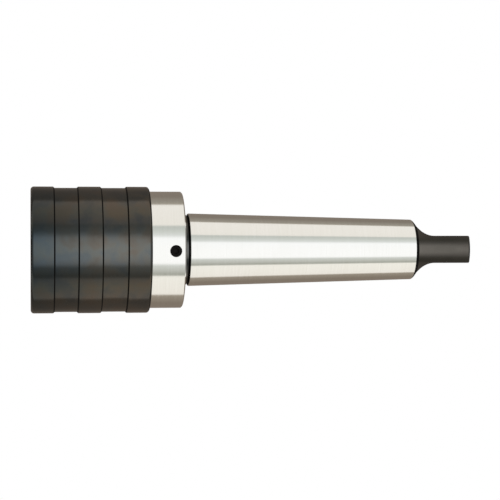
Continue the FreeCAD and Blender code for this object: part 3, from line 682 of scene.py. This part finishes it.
def paintTent():
    # colour by angle round the chuck's axis
    material, tree = newMaterial("lightTent")
    split = addNode(tree, "ShaderNodeSeparateXYZ", links={"Vector": placeOn(tree)})
    towards = addNode(tree, "ShaderNodeMath", {"operation": "MULTIPLY"}, {1: -1},
                      {0: split.outputs["Y"]})
    angle = addNode(tree, "ShaderNodeMath", {"operation": "ARCTAN2"},
                    links={0: split.outputs["X"], 1: towards.outputs["Value"]})
    share = addNode(tree, "ShaderNodeMath", {"operation": "MULTIPLY_ADD"},
                    {1: 1 / (2 * math.pi), 2: 0.5}, {0: angle.outputs["Value"]})
    peak = max(glow for degrees, colour, glow in tentBands)
    stops = []
    for degrees, colour, glow in tentBands:
        shade = tuple(c * glow / peak for c in linear(colour)[:3]) + (1,)
        stops.append(((degrees + 180) / 360, shade))
    glowing(tree, rampOf(tree, share.outputs["Value"], stops), peak)
    return material


def paintEnd(name, hole, dark):
    material, tree = newMaterial(name)
    flat = addNode(tree, "ShaderNodeVectorMath", {"operation": "MULTIPLY"}, {1: (1, 1, 0)},
                   {0: placeOn(tree)})
    away = addNode(tree, "ShaderNodeVectorMath", {"operation": "LENGTH"},
                   links={0: flat.outputs["Vector"]})
    cloth = rampOf(tree, away.outputs["Value"], [
        (hole, linear(dark)),
        (hole + endCloth["fade"], linear(endCloth["inner"])),
        (endCloth["outerAt"], linear(endCloth["outer"])),
    ])
    glowing(tree, cloth, 1.0)
    return material


def hideFromCamera(piece):
    # the tent shows in reflections only
    piece.visible_camera = False
    piece.visible_shadow = False
    piece.visible_diffuse = False


def addDisc(name, radius, height, material):
    mesh = bmesh.new()
    bmesh.ops.create_circle(mesh, cap_ends=True, segments=studio["segments"], radius=radius,
                            matrix=Matrix.Translation((0, 0, height)))
    return addObject(mesh, name, material)


def addTent(s):
    mesh = bmesh.new()
    low = mesh.verts.new((s["tentRadius"], 0, s["tentFrom"]))
    high = mesh.verts.new((s["tentRadius"], 0, s["tentTo"]))
    edge = mesh.edges.new((low, high))
    bmesh.ops.spin(mesh, geom=[low, high, edge], cent=(0, 0, 0), axis=(0, 0, 1),
                   angle=2 * math.pi, steps=s["segments"], use_merge=True, use_duplicate=False)
    wall = addObject(mesh, "lightTent", paintTent())
    hideFromCamera(wall)
    for where, end in tentEnds.items():
        name = "tent" + where.capitalize()
        paint = paintEnd(name, end["hole"], end["dark"])
        cloth = addDisc(name, s["tentRadius"], end["height"], paint)
        hideFromCamera(cloth)


def addLamp(name, azimuth, s):
    # a soft box facing the chuck
    angle = math.radians(azimuth)
    lamp = bpy.data.lights.new(name, "AREA")
    lamp.shape = "RECTANGLE"
    lamp.size = s["lampWidth"]
    lamp.size_y = s["lampLength"]
    # an area lamp glows with energy / (pi * area) on its face
    lamp.energy = s["lampGlow"] * math.pi * s["lampWidth"] * s["lampLength"]
    lampObject = bpy.data.objects.new(name, lamp)
    bpy.context.scene.collection.objects.link(lampObject)
    lampObject.location = (s["lampDistance"] * math.sin(angle),
                           -s["lampDistance"] * math.cos(angle), s["lampMiddle"])
    lampObject.rotation_euler = (math.pi / 2, 0, angle)
    lampObject.visible_camera = False
    lampObject.visible_glossy = False


# pale table under the nose, seen from above only, with the chuck's shadow on it
floorSet = {
    "radius": 3.0,             # m
    "gap": 0.2,                # mm under the nose
    "colour": "#f4f4f2",
    "roughness": 0.9,
    "grain": 4.0,              # mm
    "grainHeight": 0.02,       # mm
    "glow": 0.5,               # what makes the table pale for the camera
    "fadeFrom": 0.2,           # m from the chuck, where the table begins to fade into the white
    "fadeTo": 0.75,
}


def paintFloor(s):
    material, tree = newMaterial("paleTable")
    rays = addNode(tree, "ShaderNodeLightPath")
    glow = addNode(tree, "ShaderNodeMath", {"operation": "MULTIPLY"}, {1: s["glow"]},
                   {0: rays.outputs["Is Camera Ray"]})
    paint = addNode(tree, "ShaderNodeBsdfPrincipled", None,
                    {"Base Color": linear(s["colour"]), "Roughness": s["roughness"],
                     "Emission Color": white},
                    {"Normal": ridges(tree, spots(tree, s["grain"]), s["grainHeight"], 1.0),
                     "Emission Strength": glow.outputs["Value"]})
    # farther away the camera sees it fade into the white backdrop
    away = addNode(tree, "ShaderNodeVectorMath", {"operation": "LENGTH"}, links={0: placeOn(tree)})
    fade = addNode(tree, "ShaderNodeMapRange", {"interpolation_type": "SMOOTHSTEP"},
                   {"From Min": s["fadeFrom"], "From Max": s["fadeTo"]},
                   {"Value": away.outputs["Value"]})
    share = addNode(tree, "ShaderNodeMath", {"operation": "MULTIPLY"},
                    links={0: rays.outputs["Is Camera Ray"], 1: fade.outputs["Result"]})
    backdrop = addNode(tree, "ShaderNodeEmission", None, {"Color": white, "Strength": 1.0})
    faded = addNode(tree, "ShaderNodeMixShader", links={
        0: share.outputs["Value"], 1: paint.outputs["BSDF"], 2: backdrop.outputs["Emission"]})
    # from below it is clear
    clear = addNode(tree, "ShaderNodeBsdfTransparent")
    facing = addNode(tree, "ShaderNodeNewGeometry")
    either = addNode(tree, "ShaderNodeMixShader", links={
        0: facing.outputs["Backfacing"], 1: faded.outputs["Shader"], 2: clear.outputs["BSDF"]})
    showSurface(tree, either.outputs["Shader"])
    return material


def addFloor(s):
    floor = addDisc("paleFloor", s["radius"], nose - s["gap"] * mm, paintFloor(s))
    # the chuck mirrors the tent, as if it lay on a clear stand
    floor.visible_glossy = False


# backdrop: white for the camera and in reflections, a dim fill light for the rest
worldSet = {
    "fillColour": "#e8e8e6",
    "fillStrength": 0.4,
}


def makeWorld(s):
    world = bpy.data.worlds.new("whiteStudio")
    bpy.context.scene.world = world
    world.use_nodes = True
    tree = world.node_tree
    tree.nodes.clear()
    rays = addNode(tree, "ShaderNodeLightPath")
    cameraOrGloss = addNode(tree, "ShaderNodeMath", {"operation": "MAXIMUM"}, links={
        0: rays.outputs["Is Camera Ray"], 1: rays.outputs["Is Glossy Ray"]})
    seen = addNode(tree, "ShaderNodeMath", {"operation": "MAXIMUM"}, links={
        0: cameraOrGloss.outputs["Value"], 1: rays.outputs["Is Transmission Ray"]})
    fill = addNode(tree, "ShaderNodeBackground", None,
                   {"Color": linear(s["fillColour"]), "Strength": s["fillStrength"]})
    backdrop = addNode(tree, "ShaderNodeBackground", None, {"Color": white, "Strength": 1.0})
    choose = addNode(tree, "ShaderNodeMixShader", links={
        0: seen.outputs["Value"], 1: fill.outputs["Background"], 2: backdrop.outputs["Background"]})
    addNode(tree, "ShaderNodeOutputWorld", links={"Surface": choose.outputs["Shader"]})


addTent(studio)
for number, azimuth in enumerate((0, 90, 180, 270)):
    addLamp("softBox%d" % (number + 1), azimuth, studio)
addFloor(floorSet)
makeWorld(worldSet)
bpy.context.scene.view_settings.view_transform = "Standard"
print("studio lit")
